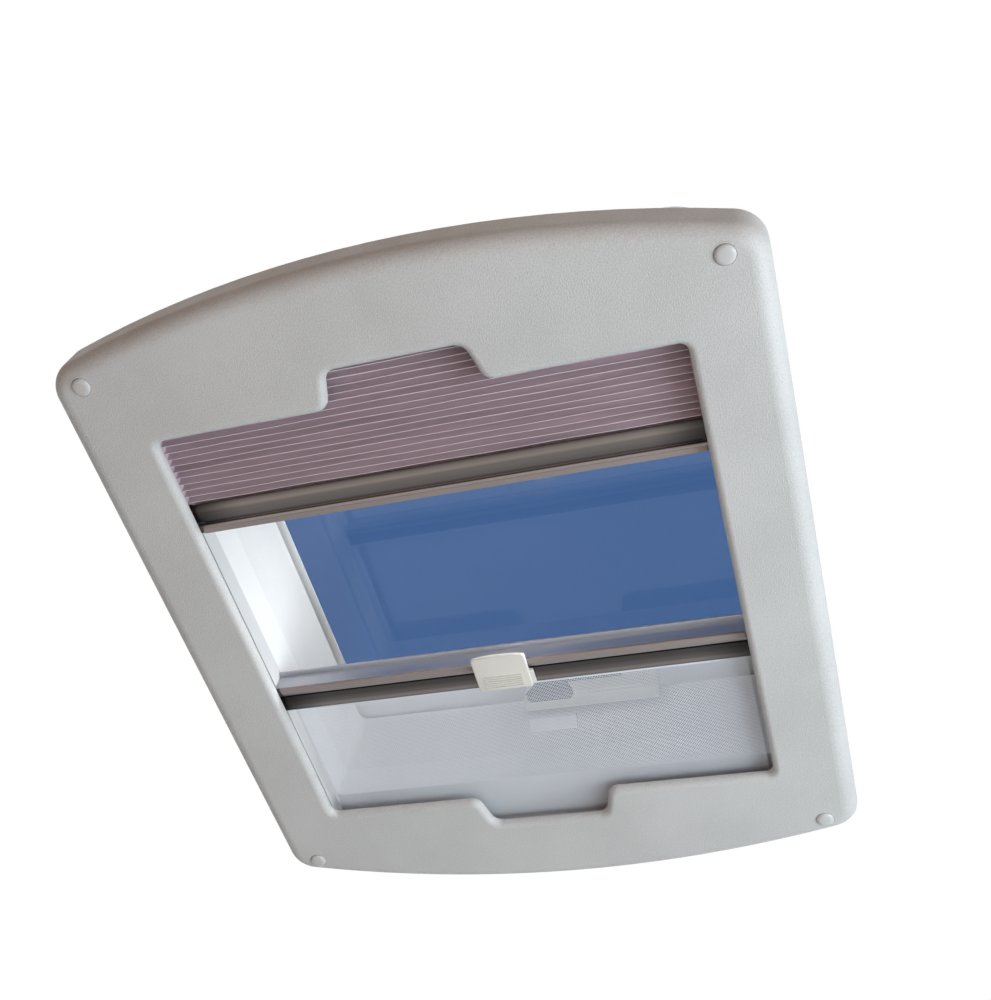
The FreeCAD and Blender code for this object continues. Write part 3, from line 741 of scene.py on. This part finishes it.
# Grip ribs on the handle
rib_section = [(-RIB_WIDTH, RIB_SINK), (-RIB_CROWN * RIB_WIDTH, -RIB_RISE),
               (RIB_CROWN * RIB_WIDTH, -RIB_RISE), (RIB_WIDTH, RIB_SINK)]
ribs = bmesh.new()
for i in range(RIBS):
    y = far_y - (RIB_START + RIB_PITCH * i) * MM
    bar(ribs, [[ribs.verts.new((x, y + dy * MM, handle_low[2] + dz * MM)) for dy, dz in rib_section]
               for x in (-RIB_HALF * MM, RIB_HALF * MM)])
rib_piece = add_object("handle_ribs", ribs, [handle_cream], smooth=False)
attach(rib_piece, "flyscreen")

# Gliders: a core inside the rail's end and a tongue in the track
half_tongue = GLIDER_TONGUE[0] / 2 * MM
for body in ("blackout", "flyscreen"):
    for hand, way in (("left", -1), ("right", 1)):
        node_name = f"{body}_glider_{hand}"
        low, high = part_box(node_name)
        tip = way * (high[0] if way > 0 else low[0])
        middle = (low[1] + high[1]) / 2
        inset = GLIDER_INSET * MM
        core_ends = sorted(way * end * MM for end in GLIDER_CORE)
        core = plate(f"{body}_glider_core_{hand}",
                     block_outline(*core_ends, low[1] + inset, high[1] - inset, CORE_CORNER * MM),
                     low[2] + inset, high[2] - inset, GLIDER_EDGE * MM, glider_dark)
        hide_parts(node_name)
        tongue_ends = sorted((way * (GLIDER_CORE[1] - GLIDER_LAP) * MM, way * tip))
        tongue = plate(f"{body}_glider_tongue_{hand}",
                       block_outline(*tongue_ends, middle - half_tongue, middle + half_tongue, TONGUE_CORNER * MM),
                       low[2] + GLIDER_TONGUE[1] * MM, low[2] + GLIDER_TONGUE[2] * MM,
                       GLIDER_EDGE * MM, glider_dark)
        for piece in (core, tongue):
            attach(piece, body)


# Screw caps with a flat crown and a steep rounded edge
def cap_shape(low, high):
    """A cap that fills a box from its crown below to its flat back."""
    middle_x, middle_y = (low[0] + high[0]) / 2, (low[1] + high[1]) / 2
    radius = (high[0] - low[0]) / 2
    rings = []
    for k in range(1, CAP_RINGS + 1):
        share = math.sin(math.pi / 2 * k / CAP_RINGS)
        rings.append((radius * share, low[2] + CAP_RISE * MM * (1 - math.sqrt(1 - share ** CAP_POWER))))
    rings.append((radius, high[2]))
    turns = [2 * math.pi * t / CAP_SIDES for t in range(CAP_SIDES)]
    bm = bmesh.new()
    crown = bm.verts.new((middle_x, middle_y, low[2]))
    loops = [[bm.verts.new((middle_x + reach * math.cos(turn), middle_y + reach * math.sin(turn), z))
              for turn in turns] for reach, z in rings]
    for t in range(CAP_SIDES):
        bm.faces.new((crown, loops[0][t], loops[0][(t + 1) % CAP_SIDES]))
    for inner, outer in zip(loops, loops[1:]):
        bridge(bm, inner, outer)
    bm.faces.new(loops[-1])
    return bm


for end in ("near", "far"):
    for hand in ("left", "right"):
        node_name = f"screw_cap_{end}_{hand}"
        cap = add_object(f"domed_{node_name}", cap_shape(*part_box(node_name)), [cap_grey], CAP_SHARP)
        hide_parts(node_name)
        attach(cap, "frame")

# Floor: pale where it is seen, warm in the light that its near half throws back
bpy.ops.mesh.primitive_plane_add(size=FLOOR_SIZE, location=FLOOR_PLACE)
floor = bpy.context.object
floor.name = "floor"
floor_mat, tree, shader = new_material("floor_pale", (0.82, 0.82, 0.81), 0.8)
rays = light_path(tree)
seen = seen_by(tree, rays)
near_half = remap(tree, axes(tree, "Object")["Y"], NEAR_HALF, soft=True)
bounce = calc(tree, "MULTIPLY", rays["Is Diffuse Ray"], near_half)
floor_tone = mix(tree, bounce, tint(tree, noise(tree, 3.0), *FLOOR_TONES), FLOOR_WARM)
tree.links.new(floor_tone, shader.inputs["Base Color"])
glow = tree.nodes.new("ShaderNodeEmission")
glow.inputs["Color"].default_value = FLOOR_PALE
surface = tree.nodes.new("ShaderNodeMixShader")
tree.links.new(calc(tree, "MULTIPLY", seen, FLOOR_GLOW), surface.inputs[0])
tree.links.new(shader.outputs[0], surface.inputs[1])
tree.links.new(glow.outputs[0], surface.inputs[2])
tree.links.new(surface.outputs[0], tree.nodes["Material Output"].inputs["Surface"])
floor.data.materials.append(floor_mat)

# World: white to the camera, in reflections and through glass; as light, a soft room with a warm near side
world = bpy.data.worlds.new("studio")
scene.world = world
world.use_nodes = True
tree = world.node_tree
seen = seen_by(tree, light_path(tree))
room_tone = tree.nodes.new("ShaderNodeValToRGB")
room_tone.color_ramp.elements[0].color = ROOM_NEAR
room_tone.color_ramp.elements[1].color = ROOM_FAR
room_share = remap(tree, axes(tree, "Generated")["Y"], ROOM_SPAN, soft=True)
tree.links.new(room_share, room_tone.inputs["Fac"])
background = tree.nodes["Background"]
tree.links.new(mix(tree, seen, room_tone.outputs["Color"], WHITE), background.inputs["Color"])
tree.links.new(remap(tree, seen, (0.0, 1.0), WORLD_LEVELS), background.inputs["Strength"])


# Lamps, in metres and watts
def lamp(name, place, target, size, energy, color=(1, 1, 1), glossy=True, spread=180.0):
    """A round soft lamp that looks at a target and isn't seen itself."""
    data = bpy.data.lights.new(name, "AREA")
    data.shape = "DISK"
    data.size = size
    data.energy = energy
    data.color = color
    data.spread = math.radians(spread)
    obj = bpy.data.objects.new(name, data)
    obj.location = place
    way = Vector(target) - Vector(place)
    obj.rotation_euler = way.to_track_quat("-Z", "Y").to_euler()
    obj.visible_camera = False
    obj.visible_transmission = False
    obj.visible_glossy = glossy
    scene.collection.objects.link(obj)


lamp("key_right", (1.3, -0.1, -0.7), (0, 0, -0.05), size=0.8, energy=15.2, color=COOL)
lamp("fill_below", (0.5, 0.0, -1.15), (0, 0, 0), size=1.5, energy=2.75, color=COOL)
lamp("top_soft", (0.0, 0.15, 2.0), (0, 0, 0), size=2.2, energy=44.0, glossy=False)
lamp("well_sky", (0.10, -0.02, 0.045), (-0.18, 0.03, -0.02), size=0.10, energy=0.20, glossy=False, spread=95.0)
lamp("well_fill", (0.02, -0.06, 0.05), (0.06, 0.18, -0.01), size=0.12, energy=0.14, glossy=False)
lamp("near_warm", (0.7, -1.5, -0.25), (0.05, -0.26, -0.03), size=0.7, energy=1.6, color=(1.0, 0.70, 0.50))

# Camera
turn_x, turn_y, turn_z = (math.radians(a) for a in CAMERA_TURN)
to_camera = Matrix.Rotation(turn_z, 3, "Z") @ Matrix.Rotation(turn_y, 3, "Y") @ Matrix.Rotation(turn_x, 3, "X")
flip = Matrix(((1, 0, 0), (0, -1, 0), (0, 0, -1)))
camera_data = bpy.data.cameras.new("camera")
camera_data.lens = CAMERA_LENS
camera_data.sensor_width = CAMERA_SENSOR
camera_data.clip_start = CAMERA_CLIP
camera = bpy.data.objects.new("camera", camera_data)
camera.matrix_world = Matrix.Translation(CAMERA_PLACE) @ (to_camera.transposed() @ flip).to_4x4()
scene.collection.objects.link(camera)
scene.camera = camera
